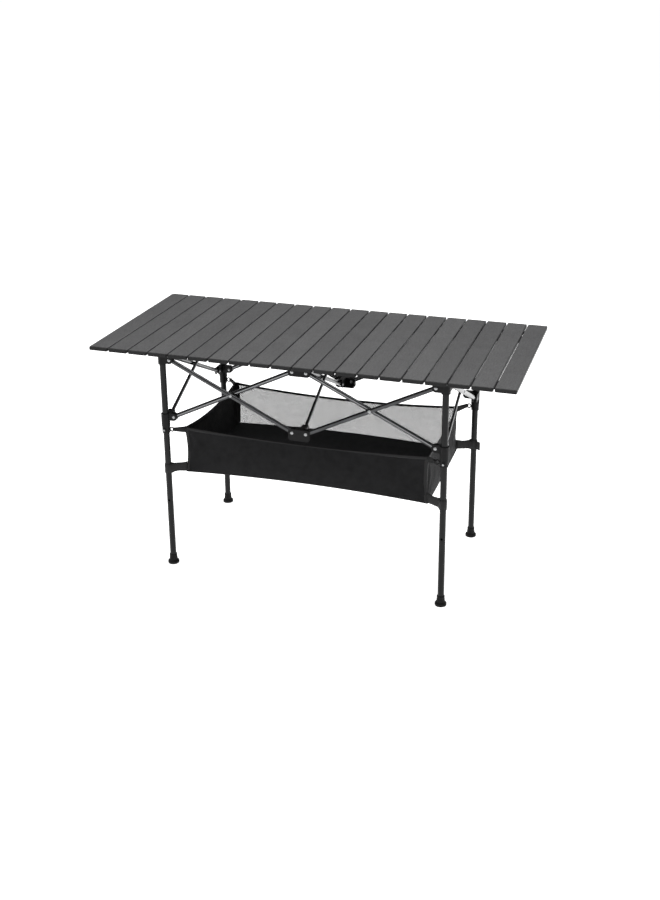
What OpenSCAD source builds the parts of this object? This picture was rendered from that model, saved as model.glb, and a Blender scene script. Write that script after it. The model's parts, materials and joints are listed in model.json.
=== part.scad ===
// Folding camp kitchen table. A roll-up slatted top rests on a frame of seven
// scissor crosses between four legs, and a fabric basket hangs between the legs.
// +X runs along the length, +Y to the back, +Z up, and the origin is on the ground
// under the middle of the table.

/* [Tabletop] */
// Length of the tabletop along X
top_len = 1200; // [1150:10:1240]
// Width of the tabletop along Y, which is the length of every slat
top_wid = 550; // [520:10:600]
// Height of the tabletop's upper face above the ground
table_h = 680; // [660:5:720]
// Thickness of a slat
slat_t = 10; // [9:0.5:12]
// Open gap between two neighbouring slats
slat_gap = 3; // [2.5:0.5:4]
// Wall of the hollow slat extrusion
slat_wall = 0.9; // [0.8:0.1:1.6]
// Distance of each elastic cord from the middle of the table
cord_y = 205; // [150:5:230]
// Diameter of the elastic cord
cord_d = 3.2; // [2.5:0.1:4]

/* [Legs] */
// Distance from the middle to a leg along X
leg_x = 406; // [395:1:415]
// Distance from the middle to a leg along Y
leg_y = 211; // [205:1:220]
// Outer diameter of the leg tube
leg_d = 18; // [16:0.5:19]
// Wall of the leg tube
leg_wall = 1; // [0.8:0.1:1.6]
// Height of the rubber foot
foot_h = 28; // [24:1:34]
// Diameter of the foot on the ground
foot_d = 33; // [28:1:36]

/* [Scissor frame] */
// Height of the upper row of pivots below the tabletop's upper face
pivot_drop = 37; // [36:0.5:40]
// Height between the upper and the lower row of pivots when the table stands
pivot_rise = 175; // [160:5:185]
// Reach of the pivots from the axis of a leg, along X
arm_x = 25; // [24:0.5:27]
// Distance of the pivots from the middle of a hub, along X
hub_x = 20; // [19.5:0.5:22]
// Width of a scissor bar
bar_w = 13; // [11:0.5:13]
// Thickness of a scissor bar
bar_t = 8; // [7:0.5:8]
// Wall of the hollow scissor bar
bar_wall = 1; // [0.8:0.1:1.6]
// Angle of the bars above the horizontal when the frame is folded
fold_angle = 84; // [80:1:84]

/* [Basket] */
// Half length of the basket along X
basket_x = 358; // [340:2:360]
// Half width of the basket along Y
basket_y = 190; // [180:2:192]
// Height of the basket's floor above the ground
basket_low = 293; // [270:1:300]
// Height of the basket's rim at its corners
basket_high = 432; // [428:1:436]
// How far the rim sags between two corners
basket_sag = 14; // [8:1:18]
// Thickness of the fabric
cloth_t = 1.2; // [1:0.1:1.6]

/* [Hidden] */
$fn = 48;
slat_count = 20;
pitch = (top_len + slat_gap) / slat_count;
slat_w = pitch - slat_gap;
slat_z = table_h - slat_t / 2;
// The long edges of a slat are full rounds
slat_round = 2.4;
rib_count = 3;
// Rubber strips in the gaps that keep the slats apart: middle and length along Y
spacers = [[207, 22], [143, 54], [-235, 54]];
spacer_reach = 0.5;
spacer_root = 0.5;
spacer_h = 4;
// Hairline gap that keeps two pieces of one node apart
hairline = 0.05;
// How far a cutter reaches past the face it cuts
cut = 1;
cap_len = 5;
cap_inset = 0.6;
cap_round = 3.5;
cord_hole = cord_d + 2.4;
knot_d = 6;

under_top = table_h - slat_t;
pad_d = 34;
pad_t = 3;
hat_t = 5;
block_gap = 3;
block_x = 10;
block_y = 30;
block_z = 6;
// Slat, counted from the left, that carries the right-hand locating blocks
block_slat = floor((leg_x + pad_d / 2 + block_gap + block_x / 2 + top_len / 2) / pitch) + 1;

leg_gap = 2;
leg_top = under_top - pad_t - hat_t - leg_gap;
leg_base = 6;
foot_rim = 5;
foot_edge = 3;
foot_step = 1.5;
foot_neck = 9;
foot_flare = 0.6;
waist_d = leg_d + 4;
sleeve_d = leg_d + 7;
bracket_low = under_top - 42;
run_gap = 0.1;

span = leg_x - arm_x - hub_x;
arm_y = leg_y - span / 2;
rise_angle = atan2(pivot_rise, span);
bar_len = sqrt(span * span + pivot_rise * pivot_rise);
slide_travel = bar_len * sin(fold_angle) - pivot_rise;
high_z = table_h - pivot_drop;
low_z = high_z - pivot_rise;
// Edges and the crown of the bar's wide faces are arcs of these radii
bar_round = bar_t / 2 - 0.2;
bar_crown = 11;
// Distance of a bar's centre plane from the plane of its cross
side_off = bar_t / 2 + 0.5;
washer_t = 0.8;
washer_d = 11;

rivet_d = 5;
rivet_hole = rivet_d + 0.1;
head_d = 9;
head_t = 1.6;
head_gap = 0.1;
ear_t = 2.7;
ear_gap = 0.3;
ear_r = 11;
ear_root = 5;
web_gap = 1.5;

slider_up = 10;
slider_split = 28;
slider_down = 48;
collar_d = leg_d + 5;
button_drop = 38;
button_d = 6;
button_tip = leg_d / 2 + 0.3;
button_out = 7.2;
boss_d = 11;
boss_out = 4.6;
latch_hole = button_d + 1;
eye_r = 6;
eye_wire = 1.7;
eye_x = collar_d / 2 + eye_r + 1;

hub_half = 12;
hub_plate_w = 2 * (hub_x + ear_r);
hub_round = 8;
top_hub_low = 12;
top_hub_gap = 2;
low_hub_low = 22;
hub_step = 1;

strap_low = basket_low + 4;
strap_h = 24;
strap_ring = 0.4;
tab_h = 6;
// A rim tab's loop: its start past the eye's middle, its play, walls and nose
tab_start = 1;
tab_play = 0.5;
tab_wall = 1;
tab_nose = 4;

slat_black = "#4a4b4d";
cap_black = "#1b1b1c";
tube_black = "#232426";
nylon_black = "#161617";
rubber_black = "#1d1d1d";
rivet_silver = "#c9cbce";
cloth_black = "#19191a";
mesh_black = "#2a2a2c";

// Corner name, side along X and side along Y
CORNERS = [
    ["front_left", -1, -1],
    ["front_right", 1, -1],
    ["back_left", -1, 1],
    ["back_right", 1, 1]
];

function slat_name(i) = str("slat_", i < 10 ? "0" : "", i);

// ---------------------------------------------------------------- helpers

// Draws its children, made for the front left corner, at another corner
module at_corner(side_x, side_y) {
    mirror([side_x > 0 ? 1 : 0, 0, 0])
        mirror([0, side_y > 0 ? 1 : 0, 0])
            children();
}

module round_rect(w, h, r) {
    square([w - 2 * r, h], center = true);
    square([w, h - 2 * r], center = true);
    for (sx = [-1, 1], sy = [-1, 1])
        translate([sx * (w / 2 - r), sy * (h / 2 - r)])
            circle(r = r);
}

// Cylinder along Y, from y0 to y1
module rod_y(d, y0, y1) {
    translate([0, y1, 0])
        rotate([90, 0, 0])
            cylinder(d = d, h = y1 - y0);
}

// Rivet along Y with a domed head past each end of its grip
module rivet(y0, y1) {
    color(rivet_silver) {
        rod_y(rivet_d, y0 - head_gap, y1 + head_gap);
        translate([0, y1 + head_gap, 0])
            rivet_head();
        translate([0, y0 - head_gap, 0])
            mirror([0, 1, 0])
                rivet_head();
    }
}

module rivet_head() {
    dome_r = (head_d * head_d / 4 + head_t * head_t) / (2 * head_t);
    intersection() {
        rod_y(head_d, 0, head_t);
        translate([0, head_t - dome_r, 0])
            sphere(r = dome_r);
    }
}

// ---------------------------------------------------------------- tabletop

module slat_profile() {
    difference() {
        round_rect(slat_w, slat_t, slat_round);
        difference() {
            round_rect(slat_w - 2 * slat_wall, slat_t - 2 * slat_wall, slat_round - slat_wall);
            for (k = [1 : rib_count])
                translate([-slat_w / 2 + k * slat_w / (rib_count + 1) - slat_wall / 2, -slat_t])
                    square([slat_wall, 2 * slat_t]);
        }
    }
}

// End cap with round outer corners, its outer face at y = 0
module slat_cap() {
    w = slat_w - 2 * cap_inset;
    color(cap_black)
        intersection() {
            translate([0, 0, -slat_t / 2])
                linear_extrude(slat_t)
                    translate([0, cap_len])
                        round_rect(w, 2 * cap_len, cap_round);
            rotate([90, 0, 0])
                translate([0, 0, -cap_len + hairline])
                    linear_extrude(cap_len)
                        round_rect(w, slat_t - cap_inset, slat_round - cap_inset);
        }
}

// Block under a slat that stops the top from sliding along X off the leg pads
module locating_block() {
    color(cap_black)
        translate([0, 0, under_top - block_z])
            linear_extrude(block_z - hairline)
                round_rect(block_x, block_y, 2);
}

// Rubber strips on the right edge of a slat whose middle is at the origin
module slat_spacers() {
    color(rubber_black)
        for (s = spacers)
            translate([slat_w / 2 - spacer_root, s[0] - s[1] / 2, -spacer_h / 2])
                cube([spacer_root + slat_gap / 2 + spacer_reach, s[1], spacer_h]);
}

module cord_holes() {
    for (s = [-1, 1])
        translate([-slat_w, s * cord_y, 0])
            rotate([0, 90, 0])
                cylinder(d = cord_hole, h = 2 * slat_w);
}

module slat(i) {
    x = -top_len / 2 + slat_w / 2 + (i - 1) * pitch;
    if (i < slat_count)
        translate([x, 0, slat_z])
            difference() {
                slat_spacers();
                cord_holes();
            }
    color(slat_black)
        translate([x, 0, slat_z])
            difference() {
                translate([0, top_wid / 2 - cap_len, 0])
                    rotate([90, 0, 0])
                        linear_extrude(top_wid - 2 * cap_len)
                            slat_profile();
                cord_holes();
            }
    for (s = [-1, 1])
        mirror([0, s > 0 ? 1 : 0, 0])
            translate([x, -top_wid / 2, slat_z])
                slat_cap();
    mirror_x = i == slat_count + 1 - block_slat ? 1 : 0;
    if (i == block_slat || mirror_x == 1)
        for (s = [-1, 1])
            mirror([mirror_x, 0, 0])
                translate([leg_x + pad_d / 2 + block_gap + block_x / 2, s * leg_y, 0])
                    locating_block();
}

module slat_pair_01_02() {
    slat(1);
    slat(2);
}

// Cords through all slats, each end knotted past the middle rib of the outermost slat
module elastic_cords() {
    end = top_len / 2 - slat_w / 2 + slat_wall + knot_d / 2;
    color(cap_black)
        for (s = [-1, 1])
            translate([-end, s * cord_y, slat_z]) {
                rotate([0, 90, 0])
                    cylinder(d = cord_d, h = 2 * end, $fn = 24);
                for (x = [0, 2 * end])
                    translate([x, 0, 0])
                        sphere(d = knot_d, $fn = 24);
            }
}

// ---------------------------------------------------------------- legs

module leg_tube() {
    color(tube_black)
        translate([-leg_x, -leg_y, 0])
            difference() {
                translate([0, 0, leg_base])
                    cylinder(d = leg_d, h = leg_top - leg_base);
                translate([0, 0, leg_base - cut])
                    cylinder(d = leg_d - 2 * leg_wall, h = leg_top - leg_base + 2 * cut);
                for (z = [low_z - button_drop, low_z - button_drop - slide_travel])
                    translate([0, 0, z])
                        rod_y(latch_hole, -leg_d, 0);
            }
}

module foot() {
    rim_r = foot_d / 2 - foot_edge;
    flare_r = waist_d / 2 + foot_flare;
    color(rubber_black)
        translate([-leg_x, -leg_y, 0])
            rotate_extrude()
                difference() {
                    union() {
                        square([foot_d / 2, foot_rim]);
                        translate([rim_r, foot_rim])
                            circle(r = foot_edge);
                        polygon([
                            [0, foot_rim],
                            [rim_r, foot_rim + foot_edge],
                            [flare_r, foot_rim + foot_edge + foot_step],
                            [flare_r, foot_h - foot_neck - 2 * foot_flare],
                            [waist_d / 2, foot_h - foot_neck],
                            [waist_d / 2, foot_h],
                            [0, foot_h]
                        ]);
                    }
                    translate([0, leg_base])
                        square([leg_d / 2, foot_h]);
                }
}

// Pair of ears along +X with the web that joins them, for a bar in the plane y = off
module clevis(arm, off, start) {
    gap = bar_t / 2 + ear_gap;
    web_end = arm - bar_w / 2 - web_gap;
    difference() {
        union() {
            for (s = [-1, 1])
                translate([0, off + s * (gap + ear_t / 2) - ear_t / 2, 0]) {
                    translate([start, 0, -ear_r])
                        cube([arm - start, ear_t, 2 * ear_r]);
                    translate([arm, 0, 0])
                        rod_y(2 * ear_r, 0, ear_t);
                }
            translate([start, off - gap - ear_t, -ear_r])
                cube([web_end - start, 2 * (gap + ear_t), 2 * ear_r]);
        }
        translate([arm, 0, 0])
            rod_y(rivet_hole, off - 2 * bar_t, off + 2 * bar_t);
    }
}

// Clevis on a leg: the one along X for a front or back cross, the other along Y
module leg_clevises(x_off, y_off) {
    clevis(arm_x, x_off, ear_root);
    rotate([0, 0, 90])
        clevis(arm_y, -y_off, ear_root);
}

// Bracket on top of a leg, which carries the outer bar of its cross and the slats
module top_bracket(y_off) {
    color(nylon_black)
        translate([-leg_x, -leg_y, 0])
            difference() {
                union() {
                    translate([0, 0, bracket_low])
                        cylinder(d = sleeve_d, h = under_top - pad_t - bracket_low);
                    translate([0, 0, under_top - pad_t])
                        cylinder(d = pad_d, h = pad_t);
                    translate([0, 0, under_top - pad_t - hat_t])
                        cylinder(d1 = sleeve_d, d2 = pad_d, h = hat_t);
                    translate([0, 0, high_z])
                        leg_clevises(-side_off, y_off);
                }
                translate([0, 0, bracket_low - cut])
                    cylinder(d = leg_d, h = leg_top - bracket_low + cut);
            }
}

// Bracket that slides on a leg, with its latch collar and the eye for the basket
module slider(y_off) {
    button_z = low_z - button_drop;
    color(nylon_black)
        translate([-leg_x, -leg_y, 0])
            difference() {
                union() {
                    translate([0, 0, low_z - slider_split])
                        cylinder(d = sleeve_d, h = slider_split + slider_up);
                    translate([0, 0, low_z - slider_down])
                        cylinder(d = collar_d, h = slider_down - slider_split);
                    translate([0, 0, low_z])
                        leg_clevises(side_off, y_off);
                    translate([0, 0, button_z])
                        rod_y(boss_d, -leg_d / 2 - boss_out, 0);
                    translate([eye_x, 0, button_z])
                        rotate([90, 0, 0])
                            rotate_extrude()
                                translate([eye_r, 0])
                                    circle(r = eye_wire, $fn = 24);
                }
                translate([0, 0, low_z - slider_down - cut])
                    cylinder(d = leg_d + 2 * run_gap, h = slider_down + slider_up + 2 * cut);
                translate([0, 0, button_z])
                    rod_y(button_d + 2 * run_gap, -leg_d, 0);
            }
}

// Spring button that locks a slider, its tip just outside the leg tube
module snap_button() {
    edge = 1.2;
    color(rivet_silver)
        translate([-leg_x, -leg_y - button_tip, low_z - button_drop])
            rotate([90, 0, 0])
                rotate_extrude()
                    union() {
                        square([button_d / 2, button_out - edge]);
                        square([button_d / 2 - edge, button_out]);
                        translate([button_d / 2 - edge, button_out - edge])
                            circle(r = edge);
                    }
}

// ---------------------------------------------------------------- hubs

// Hub between two crosses, its plates reaching from low to high about the pivots
module hub(z, low, high, x_off, y_off) {
    gap = bar_t / 2 + ear_gap;
    color(nylon_black)
        translate([0, -leg_y, z])
            difference() {
                union() {
                    for (s = [-1, 1])
                        translate([0, x_off + s * (gap + ear_t / 2) + ear_t / 2, (high - low) / 2])
                            rotate([90, 0, 0])
                                linear_extrude(ear_t)
                                    round_rect(hub_plate_w, high + low, hub_round);
                    translate([-hub_half, x_off - gap - ear_t, hub_step - low])
                        cube([2 * hub_half, 2 * (gap + ear_t), high + low - 2 * hub_step]);
                    rotate([0, 0, 90])
                        clevis(arm_y, -y_off, 0);
                }
                for (s = [-1, 1])
                    translate([s * hub_x, 0, 0])
                        rod_y(rivet_hole, -leg_d, leg_d);
            }
}

module top_hub(y_off) {
    hub(high_z, top_hub_low, pivot_drop - slat_t - top_hub_gap, side_off, y_off);
}

module low_hub(y_off) {
    hub(low_z, low_hub_low, ear_r, -side_off, y_off);
}

// ---------------------------------------------------------------- scissor bars

// Section of a bar with crowned faces, made smaller by inset on every side
module bar_profile(inset) {
    crown = bar_crown - inset;
    intersection() {
        round_rect(bar_t - 2 * inset, bar_w - 2 * inset, bar_round - inset);
        translate([bar_t / 2 - bar_crown, 0])
            circle(r = crown);
        translate([bar_crown - bar_t / 2, 0])
            circle(r = crown);
    }
}

// Hollow bar along +X from the pivot at the origin, with pivots along Y
module bar_tube() {
    color(tube_black)
        difference() {
            union() {
                rotate([90, 0, 90])
                    linear_extrude(bar_len)
                        bar_profile(0);
                for (x = [0, bar_len])
                    translate([x, 0, 0])
                        rotate([90, 0, 0])
                            rotate_extrude()
                                intersection() {
                                    rotate([0, 0, 90])
                                        bar_profile(0);
                                    translate([0, -bar_t])
                                        square([bar_w, 2 * bar_t]);
                                }
            }
            translate([bar_w, 0, 0])
                rotate([90, 0, 90])
                    linear_extrude(bar_len - 2 * bar_w)
                        bar_profile(bar_wall);
            for (x = [0, bar_len / 2, bar_len])
                translate([x, 0, 0])
                    rod_y(rivet_hole, -bar_t, bar_t);
        }
}

// Bar with a rivet at each end; kind a also has the rivet and washer of the crossing
module scissor_bar(kind) {
    grip = bar_t / 2 + ear_gap + ear_t;
    bar_tube();
    for (x = [0, bar_len])
        translate([x, 0, 0])
            rivet(-grip, grip);
    if (kind == "a")
        translate([bar_len / 2, 0, 0]) {
            rivet(-bar_t / 2, 2 * side_off + bar_t / 2);
            color(rivet_silver)
                difference() {
                    rod_y(washer_d, side_off - washer_t / 2, side_off + washer_t / 2);
                    rod_y(rivet_hole, 0, 2 * side_off);
                }
        }
}

// Bar of a front or back cross, drawn in the front left quarter
module cross_bar(kind) {
    mirror([1, 0, 0])
        translate([hub_x, -leg_y + (kind == "a" ? -side_off : side_off), kind == "a" ? low_z : high_z])
            rotate([0, kind == "a" ? -rise_angle : rise_angle, 0])
                scissor_bar(kind);
}

// Bar of a cross that runs from front to back, its plane at x
module depth_bar(x, kind) {
    translate([x + (kind == "a" ? side_off : -side_off), arm_y - leg_y, kind == "a" ? low_z : high_z])
        rotate([0, 0, 90])
            rotate([0, kind == "a" ? -rise_angle : rise_angle, 0])
                scissor_bar(kind);
}

// ---------------------------------------------------------------- basket

// Wall outline from -half to half along X, its upper edge sagging as an arc
module sagging_wall(half) {
    height = basket_high - basket_low;
    sag_r = (half * half + basket_sag * basket_sag) / (2 * basket_sag);
    difference() {
        translate([-half, 0])
            square([2 * half, height]);
        translate([0, height - basket_sag + sag_r])
            circle(r = sag_r, $fn = 360);
    }
}

// Webbing band round a leg, with the strip that joins it to the basket's corner
module leg_strap() {
    inner = leg_d + 2 * strap_ring;
    run = [basket_x - leg_x, basket_y - leg_y];
    color(cloth_black)
        translate([-leg_x, -leg_y, strap_low])
            difference() {
                union() {
                    cylinder(d = inner + 2 * cloth_t, h = strap_h);
                    rotate([0, 0, atan2(-run[1], -run[0])])
                        translate([0, -cloth_t / 2, 0])
                            cube([norm(run) + cloth_t, cloth_t, strap_h]);
                }
                translate([0, 0, -cut])
                    cylinder(d = inner, h = strap_h + 2 * cut);
            }
}

// Webbing tab from the rim's corner, looped through the eye of a slider
module rim_tab() {
    z = low_z - button_drop - tab_h / 2;
    near = -leg_x + eye_x + tab_start;
    half = eye_wire + tab_play;
    reach = eye_r + eye_wire;
    color(cloth_black)
        difference() {
            union() {
                translate([near, -leg_y - half - tab_wall, z])
                    cube([reach + tab_nose, 2 * (half + tab_wall), tab_h]);
                translate([near + eye_r, -leg_y - cloth_t / 2, z])
                    cube([leg_x - basket_x - eye_x - eye_r, cloth_t, tab_h]);
                translate([-basket_x - tab_start, -leg_y - cloth_t / 2, z])
                    cube([cloth_t, leg_y - basket_y + cloth_t, tab_h]);
            }
            translate([near + cloth_t, -leg_y - half, z - cut])
                cube([reach, 2 * half, tab_h + 2 * cut]);
        }
}

module basket_bag() {
    color(cloth_black) {
        translate([-basket_x, -basket_y, basket_low])
            cube([2 * basket_x, 2 * basket_y, cloth_t]);
        translate([0, -basket_y + cloth_t, basket_low])
            rotate([90, 0, 0])
                linear_extrude(cloth_t)
                    sagging_wall(basket_x);
        for (s = [-1, 1])
            translate([s * (basket_x - cloth_t / 2) - cloth_t / 2, 0, basket_low])
                rotate([90, 0, 90])
                    linear_extrude(cloth_t)
                        sagging_wall(basket_y);
    }
    for (c = CORNERS)
        at_corner(c[1], c[2]) {
            leg_strap();
            rim_tab();
        }
}

module basket_mesh() {
    color(mesh_black)
        translate([0, basket_y, basket_low + cloth_t])
            rotate([90, 0, 0])
                linear_extrude(cloth_t)
                    intersection() {
                        translate([0, -cloth_t])
                            sagging_wall(basket_x);
                        translate([-basket_x + cloth_t, 0])
                            square([2 * (basket_x - cloth_t), basket_high]);
                    }
}

// ---------------------------------------------------------------- nodes

slat_pair_01_02();
for (i = [3 : slat_count])
    slat(i);
elastic_cords();

for (c = CORNERS) {
    // The side bars that meet a back leg lie the other way round
    y_off = c[2] * side_off;
    at_corner(c[1], c[2]) leg_tube();
    at_corner(c[1], c[2]) foot();
    at_corner(c[1], c[2]) top_bracket(y_off);
    at_corner(c[1], c[2]) slider(-y_off);
    at_corner(c[1], c[2]) snap_button();
    for (kind = ["a", "b"])
        at_corner(c[1], c[2]) cross_bar(kind);
}

top_hub(-side_off);  // top_hub_front
mirror([0, 1, 0]) top_hub(side_off);  // top_hub_back
low_hub(side_off);  // low_hub_front
mirror([0, 1, 0]) low_hub(-side_off);  // low_hub_back

for (kind = ["a", "b"]) {
    depth_bar(-leg_x, kind);
    depth_bar(0, kind);
    mirror([1, 0, 0]) depth_bar(-leg_x, kind);
}

basket_bag();
basket_mesh();
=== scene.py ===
"""Looks of the folding camp kitchen table: materials, fabric basket, cords, light and camera.

Lengths are in metres in the CAD's frame: +X along the table, +Y to the back, +Z up.
"""
import json
import math

import bpy
import numpy as np
from mathutils import Matrix, Vector, noise

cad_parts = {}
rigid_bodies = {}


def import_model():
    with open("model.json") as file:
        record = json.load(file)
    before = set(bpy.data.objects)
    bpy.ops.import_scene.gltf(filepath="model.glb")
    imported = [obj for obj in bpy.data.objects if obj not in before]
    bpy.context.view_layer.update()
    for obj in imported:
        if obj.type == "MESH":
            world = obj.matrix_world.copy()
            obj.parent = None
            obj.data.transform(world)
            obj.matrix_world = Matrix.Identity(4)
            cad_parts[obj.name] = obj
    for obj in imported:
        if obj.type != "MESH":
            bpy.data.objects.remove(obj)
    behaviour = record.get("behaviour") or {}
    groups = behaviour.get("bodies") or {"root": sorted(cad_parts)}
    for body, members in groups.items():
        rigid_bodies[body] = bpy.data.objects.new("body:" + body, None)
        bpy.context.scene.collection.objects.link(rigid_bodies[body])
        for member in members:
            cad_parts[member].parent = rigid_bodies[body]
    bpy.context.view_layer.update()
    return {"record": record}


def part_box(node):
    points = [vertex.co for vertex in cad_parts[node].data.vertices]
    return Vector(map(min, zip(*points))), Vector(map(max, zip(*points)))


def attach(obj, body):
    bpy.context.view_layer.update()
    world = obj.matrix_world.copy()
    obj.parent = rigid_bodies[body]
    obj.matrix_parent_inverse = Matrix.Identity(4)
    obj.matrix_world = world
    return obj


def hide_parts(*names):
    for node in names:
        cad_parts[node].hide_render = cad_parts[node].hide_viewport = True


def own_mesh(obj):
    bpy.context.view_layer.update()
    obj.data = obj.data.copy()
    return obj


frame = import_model()

# ---------------------------------------------------------------- measures from the CAD

CORNERS = {
    "front_left": (-1, -1),
    "front_right": (1, -1),
    "back_left": (-1, 1),
    "back_right": (1, 1),
}
RECORD = frame["record"]
JOINTS = {j["name"]: j for j in RECORD["behaviour"]["joints"]}
SUBPARTS = [s["node"] for s in RECORD["subparts"]]


def middle(node):
    low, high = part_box(node)
    return (low + high) / 2


LEG = middle("leg_tube_back_right")
LEG_RADIUS = (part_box("leg_tube_back_right")[1].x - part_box("leg_tube_back_right")[0].x) / 2
CLOTH = 0.0012
# Half the thickness of webbing, and how near a face's centre may lie to the plane it is compared with
TAPE = 0.0007
NEAR = 2e-5
MESH_LOW, MESH_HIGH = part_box("basket_mesh")
HALF_X = MESH_HIGH.x + CLOTH
HALF_Y = MESH_HIGH.y
FLOOR_Z = MESH_LOW.z - CLOTH / 2
RIM_Z = MESH_HIGH.z
SLAT_LOW, SLAT_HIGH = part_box("slat_10")
UNDER_TOP = SLAT_LOW.z
SLAT_GAP = 0.003
# How far the rubber strips stand out of a slat's edge, and half their height
STRIP_REACH, STRIP_HALF = 0.002, 0.0022
CAP_LENGTH = 0.005
BUTTON_Z = middle("snap_button_back_right").z
# Centre of the eye on a slider, from the leg's axis towards the basket, and the eye's radius
EYE_OFFSET, EYE_RADIUS = 0.0185, 0.006
# How far the rivets stand out of a bar at each side
RIVET_HEADS = 0.0047
STRAP_LOW, STRAP_HIGH = FLOOR_Z + 0.0005, FLOOR_Z + 0.0305


def fold_shift():
    """How far a leg moves towards the hubs as the frame folds."""
    hub, leg = (Vector(JOINTS[n]["pos_m"]) for n in ("frame_fold", "fold_slider_front_left"))
    bar = leg - hub
    turned = math.atan2(-bar.z, -bar.x) + math.radians(JOINTS["frame_fold"]["range_deg"][1])
    return -bar.x - bar.length * math.cos(turned)


SHIFT = fold_shift()

# ---------------------------------------------------------------- shader helpers


def node(tree, kind, sockets=None, **settings):
    """Adds a shader node; a socket's value is a number, a colour or another node's output."""
    made = tree.nodes.new(kind)
    for key, value in settings.items():
        setattr(made, key, value)
    for key, value in (sockets or {}).items():
        if isinstance(value, bpy.types.NodeSocket):
            tree.links.new(value, made.inputs[key])
        else:
            made.inputs[key].default_value = value
    return made


def material(name, roughness, metallic=0.0, specular=0.5):
    mat = bpy.data.materials.new(name)
    mat.use_nodes = True
    shader = mat.node_tree.nodes["Principled BSDF"]
    shader.inputs["Roughness"].default_value = roughness
    shader.inputs["Metallic"].default_value = metallic
    shader.inputs["Specular IOR Level"].default_value = specular
    return mat, mat.node_tree, shader


def place(tree, scale=(1, 1, 1)):
    """Object coordinates, stretched."""
    return node(tree, "ShaderNodeMapping", {
        "Vector": node(tree, "ShaderNodeTexCoord").outputs["Object"],
        "Scale": scale,
    }).outputs["Vector"]


def grain(tree, size, detail=2.0, stretch=(1, 1, 1), roughness=0.5):
    """Noise whose grains are about size metres across."""
    return node(tree, "ShaderNodeTexNoise", {
        "Vector": place(tree, stretch),
        "Scale": 1 / size,
        "Detail": detail,
        "Roughness": roughness,
    }).outputs["Fac"]


def remap(tree, value, low, high, out_low, out_high):
    return node(tree, "ShaderNodeMapRange", {
        "Value": value, "From Min": low, "From Max": high, "To Min": out_low, "To Max": out_high,
    }).outputs["Result"]


def math_node(tree, operation, a, b=0.0):
    made = node(tree, "ShaderNodeMath", operation=operation)
    for socket, value in zip(made.inputs, (a, b)):
        if isinstance(value, bpy.types.NodeSocket):
            tree.links.new(value, socket)
        else:
            socket.default_value = value
    return made.outputs[0]


def ramp(tree, value, stops):
    """Colour from a value by (position, colour) stops."""
    made = node(tree, "ShaderNodeValToRGB", {"Fac": value})
    elements = made.color_ramp.elements
    while len(elements) < len(stops):
        elements.new(0.5)
    for element, (position, colour) in zip(elements, stops):
        element.position = position
        element.color = (*colour, 1)
    return made.outputs["Color"]


def shades(colour, spread):
    """A darker and a lighter colour around one."""
    return [tuple(c * (1 - spread) for c in colour), tuple(c * (1 + spread) for c in colour)]


def mottle(tree, shader, colour, spread, value):
    dark, light = shades(colour, spread)
    colour_out = ramp(tree, value, [(0.3, dark), (0.7, light)])
    tree.links.new(colour_out, shader.inputs["Base Color"])


def bump(tree, shader, height, distance, strength=1.0, edge=0.0):
    """Bump in metres, over edges that look rounded by edge metres."""
    sockets = {"Strength": strength, "Distance": distance, "Height": height}
    if edge:
        sockets["Normal"] = node(tree, "ShaderNodeBevel", {"Radius": edge}, samples=4).outputs[0]
    tree.links.new(node(tree, "ShaderNodeBump", sockets).outputs[0], shader.inputs["Normal"])


def wave_height(tree, axis, pitch):
    """Phase across an axis of the object, one full turn each pitch metres."""
    parts = node(tree, "ShaderNodeSeparateXYZ", {
        "Vector": node(tree, "ShaderNodeTexCoord").outputs["Object"],
    })
    turn = math_node(tree, "MULTIPLY", parts.outputs["XYZ".index(axis)], 2 * math.pi / pitch)
    return turn


# ---------------------------------------------------------------- materials


def slat_material(index, colour):
    """Powder coat on the slats, with hairlines along the slat."""
    mat, tree, shader = material(f"slat_powder_coat_{index}", 0.42, specular=0.42)
    lines = grain(tree, 0.0009, 3.0, stretch=(1, 0.05, 1))
    speck = grain(tree, 0.0045, 8.0, roughness=0.8)
    blend = math_node(tree, "ADD", math_node(tree, "MULTIPLY", lines, 0.35),
                      math_node(tree, "MULTIPLY", speck, 0.65))
    mottle(tree, shader, colour, 0.5, remap(tree, blend, 0.4, 0.6, 0.3, 0.7))
    rough = remap(tree, grain(tree, 0.05, 4.0), 0.3, 0.7, 0.38, 0.48)
    tree.links.new(rough, shader.inputs["Roughness"])
    height = math_node(tree, "ADD", speck, math_node(tree, "MULTIPLY", lines, 0.6))
    bump(tree, shader, height, 0.00025, 0.5)
    return mat


def coated_metal(name, colour, roughness, metallic=0.0, peel=0.0016):
    """Black powder coat with a slight orange peel."""
    mat, tree, shader = material(name, roughness, metallic, specular=0.18)
    mottle(tree, shader, colour, 0.2, grain(tree, 0.03, 4.0))
    rough = remap(tree, grain(tree, 0.012, 5.0), 0.3, 0.7, roughness - 0.04, roughness + 0.07)
    tree.links.new(rough, shader.inputs["Roughness"])
    bump(tree, shader, grain(tree, peel, 2.0), 0.00006, 0.5)
    return mat


def nylon_material():
    mat, tree, shader = material("moulded_nylon", 0.46, specular=0.14)
    mottle(tree, shader, (0.0065, 0.0065, 0.0068), 0.25, grain(tree, 0.004, 4.0))
    rough = remap(tree, grain(tree, 0.008, 4.0), 0.3, 0.7, 0.4, 0.55)
    tree.links.new(rough, shader.inputs["Roughness"])
    bump(tree, shader, grain(tree, 0.0005, 2.0), 0.00005, 0.6, edge=0.0006)
    return mat


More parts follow.
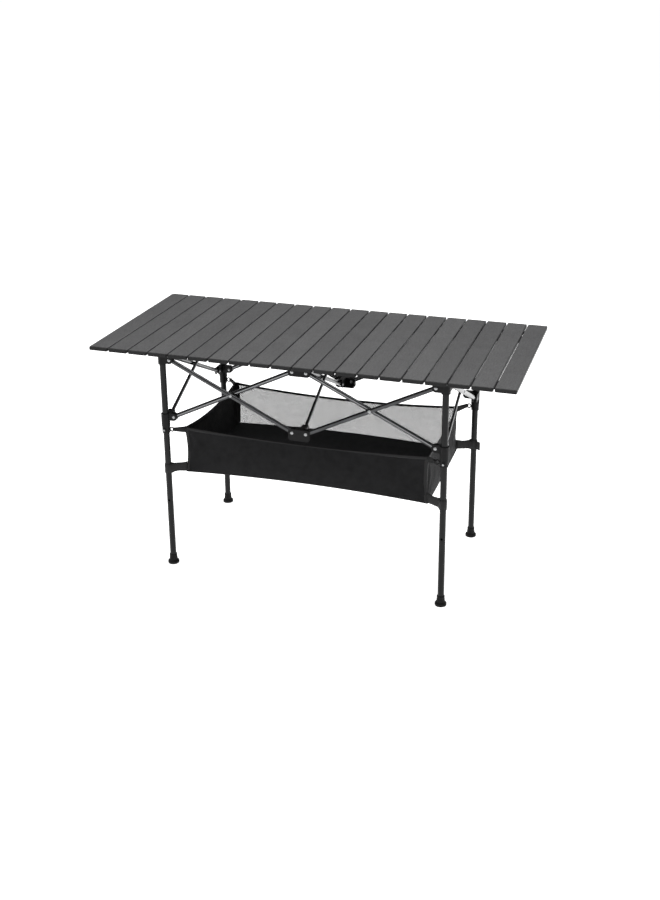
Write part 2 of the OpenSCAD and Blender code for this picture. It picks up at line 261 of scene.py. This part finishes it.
def rubber_material():
    mat, tree, shader = material("rubber", 0.6, specular=0.15)
    mottle(tree, shader, (0.008, 0.008, 0.008), 0.35, grain(tree, 0.006, 5.0))
    rough = remap(tree, grain(tree, 0.01, 4.0), 0.3, 0.7, 0.52, 0.72)
    tree.links.new(rough, shader.inputs["Roughness"])
    bump(tree, shader, grain(tree, 0.0007, 3.0), 0.00008, 0.6, edge=0.0005)
    return mat


def cap_material():
    mat, tree, shader = material("cap_nylon", 0.5, specular=0.2)
    mottle(tree, shader, (0.009, 0.009, 0.0094), 0.25, grain(tree, 0.003, 4.0))
    bump(tree, shader, grain(tree, 0.0005, 2.0), 0.00005, 0.5, edge=0.0004)
    return mat


def steel_material():
    mat, tree, shader = material("plated_steel", 0.3, metallic=1.0)
    mottle(tree, shader, (0.34, 0.345, 0.35), 0.15, grain(tree, 0.0008, 4.0))
    rough = remap(tree, grain(tree, 0.0012, 4.0), 0.3, 0.7, 0.22, 0.4)
    tree.links.new(rough, shader.inputs["Roughness"])
    bump(tree, shader, grain(tree, 0.0004, 2.0), 0.00003, 0.4)
    return mat


def weave_height(tree, axes, pitch):
    """Plain weave over two axes: threads that pass over and under each other."""
    a, b = (wave_height(tree, axis, pitch) for axis in axes)
    across = math_node(tree, "MULTIPLY", math_node(tree, "SINE", a), math_node(tree, "COSINE", b))
    along = math_node(tree, "MULTIPLY", math_node(tree, "COSINE", a), math_node(tree, "SINE", b))
    return math_node(tree, "MAXIMUM", across, along)


def cloth_material(name, axes, colour=(0.0085, 0.0085, 0.009)):
    """Woven polyester, threads along the two axes of the sheet."""
    mat, tree, shader = material(name, 0.72, specular=0.1)
    weave = weave_height(tree, axes, 0.0011)
    shade = math_node(tree, "ADD",
                      math_node(tree, "MULTIPLY", weave, 0.25),
                      grain(tree, 0.02, 5.0))
    mottle(tree, shader, colour, 0.3, shade)
    shader.inputs["Sheen Weight"].default_value = 0.05
    shader.inputs["Sheen Roughness"].default_value = 0.45
    shader.inputs["Sheen Tint"].default_value = (0.6, 0.6, 0.62, 1)
    bump(tree, shader, math_node(tree, "ADD", weave, grain(tree, 0.0012, 3.0)), 0.00016, 0.6)
    return mat


def mesh_material(axes):
    """Knitted mesh: staggered holes, a little over a third of it open."""
    mat, tree, shader = material("knitted_mesh", 0.6, specular=0.3)
    a, b = (wave_height(tree, axis, 0.0026) for axis in axes)
    net = math_node(tree, "MULTIPLY", math_node(tree, "COSINE", a), math_node(tree, "COSINE", b))
    solid = math_node(tree, "LESS_THAN", net, 0.38)
    tree.links.new(solid, shader.inputs["Alpha"])
    mottle(tree, shader, (0.022, 0.022, 0.023), 0.3, grain(tree, 0.0015, 3.0))
    bump(tree, shader, net, 0.0002, 0.6)
    return mat


def webbing_material(name, axis):
    """Ribbed webbing, its ribs across an axis."""
    mat, tree, shader = material(name, 0.66, specular=0.3)
    ribs = math_node(tree, "ABSOLUTE", math_node(tree, "SINE", wave_height(tree, axis, 0.0036)))
    mottle(tree, shader, (0.0075, 0.0075, 0.0078), 0.35,
           math_node(tree, "MULTIPLY", math_node(tree, "ADD", ribs, grain(tree, 0.0007, 3.0)), 0.6))
    bump(tree, shader, math_node(tree, "ADD", ribs, grain(tree, 0.0008, 3.0)), 0.00022, 0.7)
    return mat


def thread_material():
    mat, tree, shader = material("sewing_thread", 0.55, specular=0.4)
    mottle(tree, shader, (0.045, 0.045, 0.047), 0.3, grain(tree, 0.0004, 3.0))
    bump(tree, shader, grain(tree, 0.0003, 2.0), 0.00003, 0.5)
    return mat


def cord_material():
    """Braided cover of the elastic cord."""
    mat, tree, shader = material("braided_cord", 0.7, specular=0.3)
    a, b = wave_height(tree, "X", 0.0018), wave_height(tree, "Z", 0.0018)
    braid = math_node(tree, "MULTIPLY",
                      math_node(tree, "SINE", math_node(tree, "ADD", a, b)),
                      math_node(tree, "SINE", math_node(tree, "SUBTRACT", a, b)))
    mottle(tree, shader, (0.015, 0.015, 0.016), 0.4, remap(tree, braid, -1, 1, 0.2, 0.8))
    bump(tree, shader, braid, 0.0001, 0.6)
    return mat


SLAT_MATERIALS = [
    slat_material(i, colour) for i, colour in enumerate([
        (0.050, 0.050, 0.051), (0.056, 0.056, 0.057), (0.046, 0.046, 0.047), (0.059, 0.059, 0.060),
    ])
]
TUBE = coated_metal("leg_powder_coat", (0.008, 0.0083, 0.0087), 0.34)
BAR = coated_metal("bar_anodised", (0.06, 0.061, 0.063), 0.14, metallic=1.0)
NYLON = nylon_material()
RUBBER = rubber_material()
CAP = cap_material()
STEEL = steel_material()
CLOTH_XZ = cloth_material("woven_cloth_front", "XZ")
CLOTH_YZ = cloth_material("woven_cloth_side", "YZ")
CLOTH_XY = cloth_material("woven_cloth_floor", "XY")
NET = mesh_material("XZ")
WEBBING_X = webbing_material("webbing_x", "X")
WEBBING_Z = webbing_material("webbing_z", "Z")
THREAD = thread_material()
CORD = cord_material()

# ---------------------------------------------------------------- CAD nodes


def assign(name, materials, choose=None):
    """Puts materials on a CAD node, by a rule from face centres where there are several."""
    mesh = bpy.data.objects[name].data
    mesh.materials.clear()
    for mat in materials:
        mesh.materials.append(mat)
    index = np.zeros(len(mesh.polygons), np.int32)
    if choose:
        centres = np.zeros(len(mesh.polygons) * 3, np.float32)
        mesh.polygons.foreach_get("center", centres)
        index = choose(centres.reshape(-1, 3)).astype(np.int32)
    mesh.polygons.foreach_set("material_index", index)
    mesh.update()


def slat_faces(edges):
    """Slat metal is 0, caps and locating blocks 1, and the rubber strips in the gaps 2."""
    cap_y = SLAT_HIGH.y - CAP_LENGTH
    middle_z = (UNDER_TOP + SLAT_HIGH.z) / 2

    def choose(centre):
        x, y, z = centre.T
        kind = np.zeros(len(centre))
        for edge in edges:
            kind[(x > edge) & (x < edge + SLAT_GAP) & (abs(z - middle_z) < STRIP_HALF)] = 2
        kind[(abs(y) > cap_y + NEAR / 2) | (z < UNDER_TOP - NEAR)] = 1
        return kind

    return choose


def dress_slats():
    slats = sorted(n for n in SUBPARTS if n.startswith("slat"))
    width = SLAT_HIGH.x - STRIP_REACH - SLAT_LOW.x
    for i, name in enumerate(slats):
        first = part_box(name)[0].x + width
        edges = [first]
        if "pair" in name:
            edges.append(first + SLAT_GAP + width)
        metal = SLAT_MATERIALS[(i * 7 + i // 3) % len(SLAT_MATERIALS)]
        assign(name, [metal, CAP, RUBBER], slat_faces(edges))


def bar_faces(axis, plane, half):
    """Rivets and washers are the faces that lie outside the bar's thickness."""
    def choose(centre):
        return abs(centre[:, axis] - plane) > half + NEAR
    return choose


def bar_plane(name):
    """The axis across a bar, its centre plane and half its thickness."""
    low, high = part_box(name[:-1] + "b")
    axis = 1 if name.startswith("cross") else 0
    half = (high[axis] - low[axis]) / 2 - RIVET_HEADS
    plane = (high[axis] + low[axis]) / 2
    if name.endswith("a"):
        leg = 0.0
        if name.startswith("cross"):
            leg = math.copysign(LEG.y, plane)
        elif not name.startswith("middle"):
            leg = math.copysign(LEG.x, plane)
        plane = 2 * leg - plane
    return axis, plane, half


def dress_nodes():
    dress_slats()
    for name in SUBPARTS:
        if "_bar_" in name:
            assign(name, [BAR, STEEL], bar_faces(*bar_plane(name)))
        elif name.startswith("leg_tube"):
            assign(name, [TUBE])
        elif name.startswith("foot"):
            assign(name, [RUBBER])
        elif name.startswith("snap_button"):
            assign(name, [STEEL])
        elif name.startswith(("top_", "low_", "slider")):
            assign(name, [NYLON])


# ---------------------------------------------------------------- mesh helpers


def piece(name, points, faces, mat, body):
    """A new smooth piece that rides on a body."""
    mesh = bpy.data.meshes.new(name)
    mesh.from_pydata([tuple(p) for p in points], [], faces)
    mesh.validate()
    mesh.materials.append(mat)
    for polygon in mesh.polygons:
        polygon.use_smooth = True
    obj = bpy.data.objects.new(name, mesh)
    bpy.context.scene.collection.objects.link(obj)
    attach(obj, body)
    return obj


def solidify(obj, thickness, offset=0.0):
    made = obj.modifiers.new("thickness", "SOLIDIFY")
    made.thickness = thickness
    made.offset = offset
    return obj


def grid(shape, across, up):
    """Points and faces of a rectangle mapped by shape(u, v), both from 0 to 1."""
    points = [shape(i / across, j / up) for j in range(up + 1) for i in range(across + 1)]
    row = across + 1
    faces = [
        (j * row + i, j * row + i + 1, (j + 1) * row + i + 1, (j + 1) * row + i)
        for j in range(up) for i in range(across)
    ]
    return points, faces


def loft(rings, capped=True):
    """Points and faces of a skin over rings of equal length."""
    size = len(rings[0])
    points = [p for ring in rings for p in ring]
    faces = []
    for start in range(0, (len(rings) - 1) * size, size):
        for i in range(size):
            j = (i + 1) % size
            faces.append((start + i, start + j, start + size + j, start + size + i))
    if capped:
        faces.append(tuple(reversed(range(size))))
        faces.append(tuple(range(len(points) - size, len(points))))
    return points, faces


def join(parts):
    """One list of points and faces from several."""
    points, faces = [], []
    for some_points, some_faces in parts:
        shift = len(points)
        points += some_points
        faces += [tuple(i + shift for i in f) for f in some_faces]
    return points, faces


def section(centre, wide, thin, half_width, half_thick):
    """Rounded flat section of a tape, as points around its centre."""
    ring = []
    edge = half_thick * 0.9
    for a, b in ((1, 0), (0.72, 0.8), (0.3, 1), (-0.3, 1), (-0.72, 0.8), (-1, 0),
                 (-0.72, -0.8), (-0.3, -1), (0.3, -1), (0.72, -0.8)):
        reach = half_width if abs(a) == 1 else (half_width - edge) * (a / 0.72 if abs(a) > 0.5 else a)
        ring.append(centre + wide * reach + thin * half_thick * b)
    return ring


def tube_ring(centre, a, b, radius, count=10):
    return [
        centre + (a * math.cos(2 * math.pi * k / count) + b * math.sin(2 * math.pi * k / count)) * radius
        for k in range(count)
    ]


# ---------------------------------------------------------------- basket shape

RIM_SAG = 0.014
LONG_EDGE_RISE = 0.011
END_SAG = 0.003
MIDDLE_SAG = 0.02
BULGE = 0.006
PINCH = 0.0045


def floor_height(x, y):
    a, b = (x / HALF_X) ** 2, (y / HALF_Y) ** 2
    return FLOOR_Z + LONG_EDGE_RISE * (1 - a) - END_SAG * (1 - b) - MIDDLE_SAG * (1 - a) * (1 - b)


def pinch(v):
    return PINCH * math.sin(math.pi * v)


def creases(along, v, seed, depth):
    """Folds that run out from the corners of a wall, along from -1 to 1."""
    edge = 1 - abs(along)
    room = min(1.0, edge / 0.03) * math.sin(math.pi * min(1.0, max(0.0, v)))
    total = 0.0
    for corner_v, turn in ((0.0, 1.7), (1.0, -2.3)):
        angle = math.atan2((v - corner_v) * 0.14, edge * 0.36)
        reach = math.hypot((v - corner_v) * 0.14, edge * 0.36)
        side = 1 if along > 0 else 2
        total += math.sin(angle * 9 + seed + turn * side) * math.exp(-reach / 0.07)
    slow = noise.noise(Vector((along * 3.1 + seed, v * 1.3, seed * 0.7)))
    fine = noise.noise(Vector((along * 11 + seed, v * 4.0, 5 + seed)))
    return room * (total * depth + slow * depth * 0.9 + fine * depth * 0.35)


def wall_point(half, along, v, seed, depth, lean=0.004):
    """(distance along the wall, distance out of its plane, height share) of a wall."""
    free = (1 - along ** 4) ** 2
    out = BULGE * free * math.sin(math.pi * v ** 0.8) - lean * free * v * v
    out += creases(along, v, seed, depth)
    out -= pinch(v) * abs(along) ** 10
    return along * (half - pinch(v) * along * along), out


def wall_height(along, v, rise):
    low = FLOOR_Z + rise * (1 - along * along)
    high = RIM_Z - RIM_SAG * (1 - along * along)
    return low + (high - low) * v


def front_shape(side):
    """Front (side -1) or back (side 1) wall as a function of u and v from 0 to 1."""
    def shape(u, v, extra=0.0):
        along = 2 * u - 1
        x, out = wall_point(HALF_X, along, v, 1.3 if side < 0 else 4.1, 0.0028)
        return Vector((x, side * (HALF_Y - CLOTH / 2 + out + extra),
                       wall_height(along, v, LONG_EDGE_RISE)))
    return shape


def side_shape(side):
    def shape(u, v, extra=0.0):
        along = 2 * u - 1
        y, out = wall_point(HALF_Y, along, v, 7.7 if side > 0 else 2.9, 0.003)
        return Vector((side * (HALF_X - CLOTH / 2 + out + extra), y, wall_height(along, v, -END_SAG)))
    return shape


WALLS = {
    "front": (front_shape(-1), Vector((0, -1, 0)), "front_low_hub", 2 * HALF_X),
    "back": (front_shape(1), Vector((0, 1, 0)), "back_low_hub", 2 * HALF_X),
    "left": (side_shape(-1), Vector((-1, 0, 0)), "slider_front_left", 2 * HALF_Y),
    "right": (side_shape(1), Vector((1, 0, 0)), "slider_front_right", 2 * HALF_Y),
}


def wall_webbing(name):
    return WEBBING_X if name in ("front", "back") else WEBBING_Z


def fold_with(obj, wall):
    """Gives a piece of a wall its own copy of its mesh."""
    if wall in ("front", "back"):
        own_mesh(obj)
    else:
        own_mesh(obj)
    return obj


def add_wall(name):
    shape, out, body, length = WALLS[name]
    across = round(length / 0.006)
    points, faces = grid(shape, across, 24)
    mat = {"front": CLOTH_XZ, "back": NET}.get(name, CLOTH_YZ)
    obj = piece(f"basket_{name}_wall", points, faces, mat, body)
    if name != "back":
        solidify(obj, CLOTH)
    fold_with(obj, name)
    return obj


def along_wall(name, v, lift, count):
    """Points along a wall at height share v, lift metres outside it."""
    shape = WALLS[name][0]
    return [shape(i / count, v, lift) for i in range(count + 1)]


def add_rim_tape(name):
    """Binding folded over the top edge of a wall."""
    _, out, body, length = WALLS[name]
    path = along_wall(name, 1.0, 0.0, round(length / 0.009))
    tall = 0.0042 if name == "back" else 0.005
    rings = []
    for p in path:
        rings.append(section(p + Vector((0, 0, 0.0008 - tall)), Vector((0, 0, 1)), out, tall, 0.0013))
    points, faces = loft(rings)
    obj = piece(f"basket_{name}_binding", points, faces, wall_webbing(name), body)
    fold_with(obj, name)
    return obj


def add_stitches(name, v, drop, lift):
    """A row of lockstitches along a wall, drop metres under height share v."""
    _, out, body, length = WALLS[name]
    pitch, thread = 0.0042, 0.00032
    count = round(length / pitch)
    path = along_wall(name, v, lift, count)
    parts = []
    for a, b in zip(path[:-1], path[1:]):
        run = b - a
        down = Vector((0, 0, -drop))
        rings = []
        for share, size in ((0.1, 0.3), (0.28, 1.0), (0.6, 1.0), (0.82, 0.3)):
            centre = a + run * share + down
            rings.append(tube_ring(centre, out, Vector((0, 0, 1)), thread * size, 6))
        parts.append(loft(rings))
    points, faces = join(parts)
    label = "rim" if v > 0.5 else "hem"
    obj = piece(f"basket_{name}_{label}_stitches", points, faces, THREAD, body)
    return fold_with(obj, name)


def add_piping(name):
    """Sewn seam between a wall and the floor."""
    _, out, body, length = WALLS[name]
    path = along_wall(name, 0.0, 0.0002, round(length / 0.01))
    rings = [tube_ring(p, out, Vector((0, 0, 1)), 0.0017, 8) for p in path]
    points, faces = loft(rings)
    obj = piece(f"basket_{name}_piping", points, faces, wall_webbing(name), body)
    return fold_with(obj, name)


def add_corner(corner):
    """Tape over the seam between two walls."""
    sx, sy = CORNERS[corner]
    wing_x = 0.013 if sy > 0 else 0.008
    wing_y, outer, inner = 0.008, 0.00135, 0.00075
    outline = [(-wing_x, outer), (-wing_x * 0.5, outer), (-0.0006, outer), (0.0009, outer - 0.0004),
               (outer, 0.0004), (outer, -0.0012), (outer, -wing_y * 0.5), (outer, -wing_y),
               (inner, -wing_y), (inner, -wing_y * 0.5), (inner, inner - 0.0008), (inner - 0.0008, inner),
               (-wing_x * 0.5, inner), (-wing_x, inner)]
    rings = []
    for k in range(21):
        v = k / 20
        z = FLOOR_Z - 0.001 + (RIM_Z - FLOOR_Z + 0.0015) * v
        x, y = HALF_X - CLOTH / 2 - pinch(v), HALF_Y - CLOTH / 2 - pinch(v)
        ring = [Vector((sx * (x + a), sy * (y + b), z)) for a, b in outline]
        rings.append(ring if sx * sy > 0 else ring[::-1])
    points, faces = loft(rings)
    return piece(f"basket_corner_{corner}", points, faces, WEBBING_Z, f"slider_{corner}")


def add_floor():
    """The floor as a fan of gores from the front wall's middle."""
    apex = Vector((0, -HALF_Y + CLOTH / 2, 0))
    half_x, half_y = HALF_X - CLOTH / 2, HALF_Y - CLOTH / 2
    side_gores, back_gores = 12, 24
    rows, columns, start = 30, 3, 0.0015
    stops = [Vector((half_x, -half_y + 2 * half_y * i / side_gores, 0)) for i in range(side_gores)]
    stops += [Vector((half_x - 2 * half_x * i / back_gores, half_y, 0)) for i in range(back_gores)]
    stops += [Vector((-half_x, half_y - 2 * half_y * i / side_gores, 0)) for i in range(side_gores + 1)]
    for number, (a, b) in enumerate(zip(stops[:-1], stops[1:]), 1):
        def shape(s, r):
            reach = start + (1 - start) * r
            flat = apex + (a + (b - a) * s - apex) * reach
            return Vector((flat.x, flat.y, floor_height(flat.x, flat.y)))
        points, faces = grid(shape, columns, rows)
        name = f"basket_floor_{number:02d}"
        obj = piece(name, points, faces, CLOTH_XY, "front_low_hub")
        solidify(obj, CLOTH).modifiers["thickness"].use_rim = False
        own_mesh(obj)


# ---------------------------------------------------------------- straps


def hairpin(length, radius, gap, count=14):
    """Plan of a tape that runs along s, round a post at the origin and back, as (s, q) points."""
    open_at = radius + 0.009
    straight = [(length - (length - open_at) * k / 5, gap) for k in range(6)]
    start = math.radians(58)
    p0, p3 = Vector((open_at, gap)), Vector((radius * math.cos(start), radius * math.sin(start)))
    p1 = p0 + Vector((-0.0045, 0))
    p2 = p3 + Vector((math.sin(start), -math.cos(start))) * 0.0045
    bend = []
    for k in range(1, 6):
        t = k / 6
        p = p0 * (1 - t) ** 3 + p1 * 3 * t * (1 - t) ** 2 + p2 * 3 * t * t * (1 - t) + p3 * t ** 3
        bend.append((p.x, p.y))
    arc = []
    for k in range(count + 1):
        angle = start + (2 * math.pi - 2 * start) * k / count
        arc.append((radius * math.cos(angle), radius * math.sin(angle)))
    back = [(s, -q) for s, q in reversed(straight + bend)]
    return straight + bend + arc + back


def tape_along(plan, origin, run, half_widths, heights, half_thick):
    """Rings of a standing tape over a plan in the direction run from origin."""
    side = Vector((-run.y, run.x, 0))
    rings = []
    spots = [origin + run * s + side * q for s, q in plan]
    for k, spot in enumerate(spots):
        before, after = spots[max(0, k - 1)], spots[min(len(spots) - 1, k + 1)]
        direction = (after - before).normalized()
        thin = Vector((-direction.y, direction.x, 0))
        centre = Vector((spot.x, spot.y, heights[k]))
        rings.append(section(centre, Vector((0, 0, 1)), thin, half_widths[k], half_thick))
    return rings


def add_leg_strap(corner):
    """Webbing from the basket's lower corner round the leg."""
    sx, sy = CORNERS[corner]
    leg = Vector((sx * LEG.x, sy * LEG.y, 0))
    seam = Vector((sx * (HALF_X - 0.002), sy * (HALF_Y - 0.002), 0))
    run = (seam - leg).normalized()
    length = (seam - leg).length
    plan = hairpin(length, LEG_RADIUS + 0.0011, 0.0009)
    share = [min(1.0, max(0.0, (s - LEG_RADIUS) / (length - LEG_RADIUS))) for s, _ in plan]
    middle_z = (STRAP_LOW + STRAP_HIGH) / 2
    half = (STRAP_HIGH - STRAP_LOW) / 2
    half_widths = [half * (1 - 0.12 * math.sin(math.pi * t)) for t in share]
    heights = [middle_z - 0.002 * (1 - t) + 0.0006 * math.sin(7 * t + sx) for t in share]
    parts = [loft(tape_along(plan, leg, run, half_widths, heights, TAPE))]
    if corner == "back_right":
        parts.append(loft(strap_tail(leg, middle_z, half * 0.9)))
    points, faces = join(parts)
    return piece(f"basket_leg_strap_{corner}", points, faces, WEBBING_Z, f"slider_{corner}")


def strap_tail(leg, middle_z, half):
    """Loose end of the strap that stands off the leg."""
    rings = []
    for k in range(10):
        t = k / 9
        angle = -0.9 + 0.5 * t
        reach = LEG_RADIUS + 0.0026 + 0.014 * max(0.0, t - 0.25)
        out = Vector((math.cos(angle), math.sin(angle), 0))
        spot = leg + out * reach + Vector((0, 0, middle_z - 0.004 * t * t))
        thin = Vector((math.cos(angle + 0.4 * t), math.sin(angle + 0.4 * t), 0)) if t < 0.3 else \
            Vector((-math.sin(angle), math.cos(angle), 0))
        rings.append(section(spot, Vector((0, 0, 1)), thin, half, TAPE))
    return rings


def add_rim_tab(corner):
    """Webbing from the rim's corner through the eye of the slider."""
    sx, sy = CORNERS[corner]
    wire = Vector((sx * (LEG.x - EYE_OFFSET - EYE_RADIUS), sy * LEG.y, 0))
    seam = Vector((sx * (HALF_X - 0.001), sy * (HALF_Y - 0.001), 0))
    run = (seam - wire).normalized()
    length = (seam - wire).length
    plan = hairpin(length, 0.0038, 0.0009, 10)
    share = [min(1.0, max(0.0, s / length)) for s, _ in plan]
    half_widths = [0.0041 + 0.005 * t ** 0.5 for t in share]
    heights = [BUTTON_Z - 0.0058 * t for t in share]
    points, faces = loft(tape_along(plan, wire, run, half_widths, heights, TAPE))
    return piece(f"basket_rim_tab_{corner}", points, faces, WEBBING_Z, f"slider_{corner}")


def add_basket():
    walls = {name: add_wall(name) for name in WALLS}
    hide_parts("basket_bag")
    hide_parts("basket_mesh")
    for name in WALLS:
        add_rim_tape(name)
        add_stitches(name, 1.0, 0.0062, 0.0013)
        add_piping(name)
        if name != "back":
            add_stitches(name, 0.0, -0.0045, 0.0008)
    for corner in CORNERS:
        add_corner(corner)
        add_leg_strap(corner)
        add_rim_tab(corner)
    add_floor()


# ---------------------------------------------------------------- elastic cords


def knot(centre, size):
    """Trefoil that stops the cord's end."""
    count = 60
    rings, spots = [], []
    for k in range(count + 1):
        t = 2 * math.pi * k / count
        swing = 2 + math.cos(3 * t)
        turn = Vector((math.sin(3 * t), swing * math.cos(2 * t), swing * math.sin(2 * t)))
        spots.append(centre + turn * size)
    for k, spot in enumerate(spots):
        direction = (spots[(k + 1) % count] - spots[(k - 1) % count]).normalized()
        side = (Vector((1, 0, 0)) - direction * direction.x).normalized()
        rings.append(tube_ring(spot, side, direction.cross(side), size * 0.75, 8))
    return loft(rings, capped=False)


def cord_run(x0, x1, y, z, radius):
    """Round cord along X with round ends."""
    rings = []
    for turn in (-80, -50, -20):
        a = math.radians(turn)
        rings.append((x0 + radius * math.sin(a), radius * math.cos(a)))
    rings += [(x0, radius), (x1, radius)]
    for turn in (20, 50, 80):
        a = math.radians(turn)
        rings.append((x1 + radius * math.sin(a), radius * math.cos(a)))
    across, up = Vector((0, 1, 0)), Vector((0, 0, 1))
    return loft([tube_ring(Vector((x, y, z)), across, up, r, 14) for x, r in rings])


def add_cords():
    low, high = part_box("elastic_cords")
    knot_radius, radius = 0.003, 0.0016
    cord_y, z = high.y - knot_radius, (low.z + high.z) / 2
    hinges = sorted(JOINTS[j]["pos_m"][0] for j in JOINTS if j.startswith(("tabletop_roll", "roll_")))
    stops = [low.x + knot_radius] + hinges + [high.x - knot_radius]
    bodies = ["tabletop_end"] + sorted(n for n in SUBPARTS if n.startswith("slat_") and "pair" not in n)
    for body, x0, x1 in zip(bodies, stops[:-1], stops[1:]):
        parts = [cord_run(x0, x1, s * cord_y, z, radius) for s in (-1, 1)]
        for x in (x0, x1):
            if x in (stops[0], stops[-1]):
                parts += [knot(Vector((x, s * cord_y, z)), 0.0009) for s in (-1, 1)]
        points, faces = join(parts)
        obj = piece(f"cord_run_{body}", points, faces, CORD, body)
        if body == "tabletop_end":
            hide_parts("elastic_cords")


# ---------------------------------------------------------------- camera, light and floor


def add_camera():
    """Camera fitted to the photograph's perspective."""
    focal_px, frame_px, shift_px = 1173.945, 900, 105
    yaw, pitch, roll = -0.314, 0.329, -0.008
    forward = Vector((math.sin(yaw) * math.cos(pitch), math.cos(yaw) * math.cos(pitch), -math.sin(pitch)))
    right = Vector((math.cos(yaw), -math.sin(yaw), 0))
    up = right.cross(forward)
    right, up = (right * math.cos(roll) + up * math.sin(roll),
                 up * math.cos(roll) - right * math.sin(roll))
    data = bpy.data.cameras.new("camera")
    data.sensor_width = 36
    data.lens = 36 * focal_px / frame_px
    data.shift_y = -shift_px / frame_px
    data.clip_end = 200
    obj = bpy.data.objects.new("camera", data)
    turn = Matrix((right, up, -forward)).transposed().to_4x4()
    obj.matrix_world = Matrix.Translation((1.0013, -3.0202, 1.7392)) @ turn
    bpy.context.scene.collection.objects.link(obj)
    bpy.context.scene.camera = obj


def area_light(name, spot, target, size, power):
    data = bpy.data.lights.new(name, "AREA")
    data.shape = "RECTANGLE"
    data.size, data.size_y = size
    data.energy = power
    obj = bpy.data.objects.new(name, data)
    direction = Vector(target) - Vector(spot)
    obj.matrix_world = Matrix.Translation(spot) @ direction.to_track_quat("-Z", "Y").to_matrix().to_4x4()
    bpy.context.scene.collection.objects.link(obj)
    return obj


def add_lights():
    area_light("softbox_top", (-0.6, 1.2, 3.2), (0, 0, 0.5), (3.2, 2.4), 95)
    area_light("softbox_front", (0.8, -3.2, 2.6), (0, 0, 0.4), (3.0, 0.7), 45)
    area_light("softbox_left", (-3.4, -0.8, 2.0), (0, 0, 0.4), (1.2, 2.4), 40)
    area_light("softbox_right", (3.2, 0.4, 1.8), (0, 0, 0.4), (1.2, 2.2), 28)
    world = bpy.data.worlds.new("studio")
    world.use_nodes = True
    tree = world.node_tree
    background = tree.nodes["Background"]
    background.inputs["Color"].default_value = (1, 1, 1, 1)
    seen = node(tree, "ShaderNodeLightPath").outputs["Is Camera Ray"]
    tree.links.new(remap(tree, seen, 0, 1, 0.2, 1.2), background.inputs["Strength"])
    bpy.context.scene.world = world
    bpy.context.scene.view_settings.view_transform = "Standard"


def add_floor_plane():
    half = 60
    corners = [(-half, -half, 0), (half, -half, 0), (half, half, 0), (-half, half, 0)]
    mesh = bpy.data.meshes.new("studio_floor")
    mesh.from_pydata(corners, [], [(0, 1, 2, 3)])
    mat, tree, shader = material("studio_floor", 0.9, specular=0.1)
    mottle(tree, shader, (0.86, 0.86, 0.86), 0.01, grain(tree, 0.4, 3.0))
    shader.inputs["Emission Color"].default_value = (1, 1, 1, 1)
    shader.inputs["Emission Strength"].default_value = 0.85
    clear = node(tree, "ShaderNodeBsdfTransparent").outputs[0]
    one_sided = node(tree, "ShaderNodeMixShader", {
        0: node(tree, "ShaderNodeNewGeometry").outputs["Backfacing"], 1: shader.outputs[0], 2: clear,
    })
    tree.links.new(one_sided.outputs[0], tree.nodes["Material Output"].inputs["Surface"])
    mesh.materials.append(mat)
    floor = bpy.data.objects.new("studio_floor", mesh)
    bpy.context.scene.collection.objects.link(floor)


add_camera()
add_lights()
add_floor_plane()
dress_nodes()
add_cords()
add_basket()
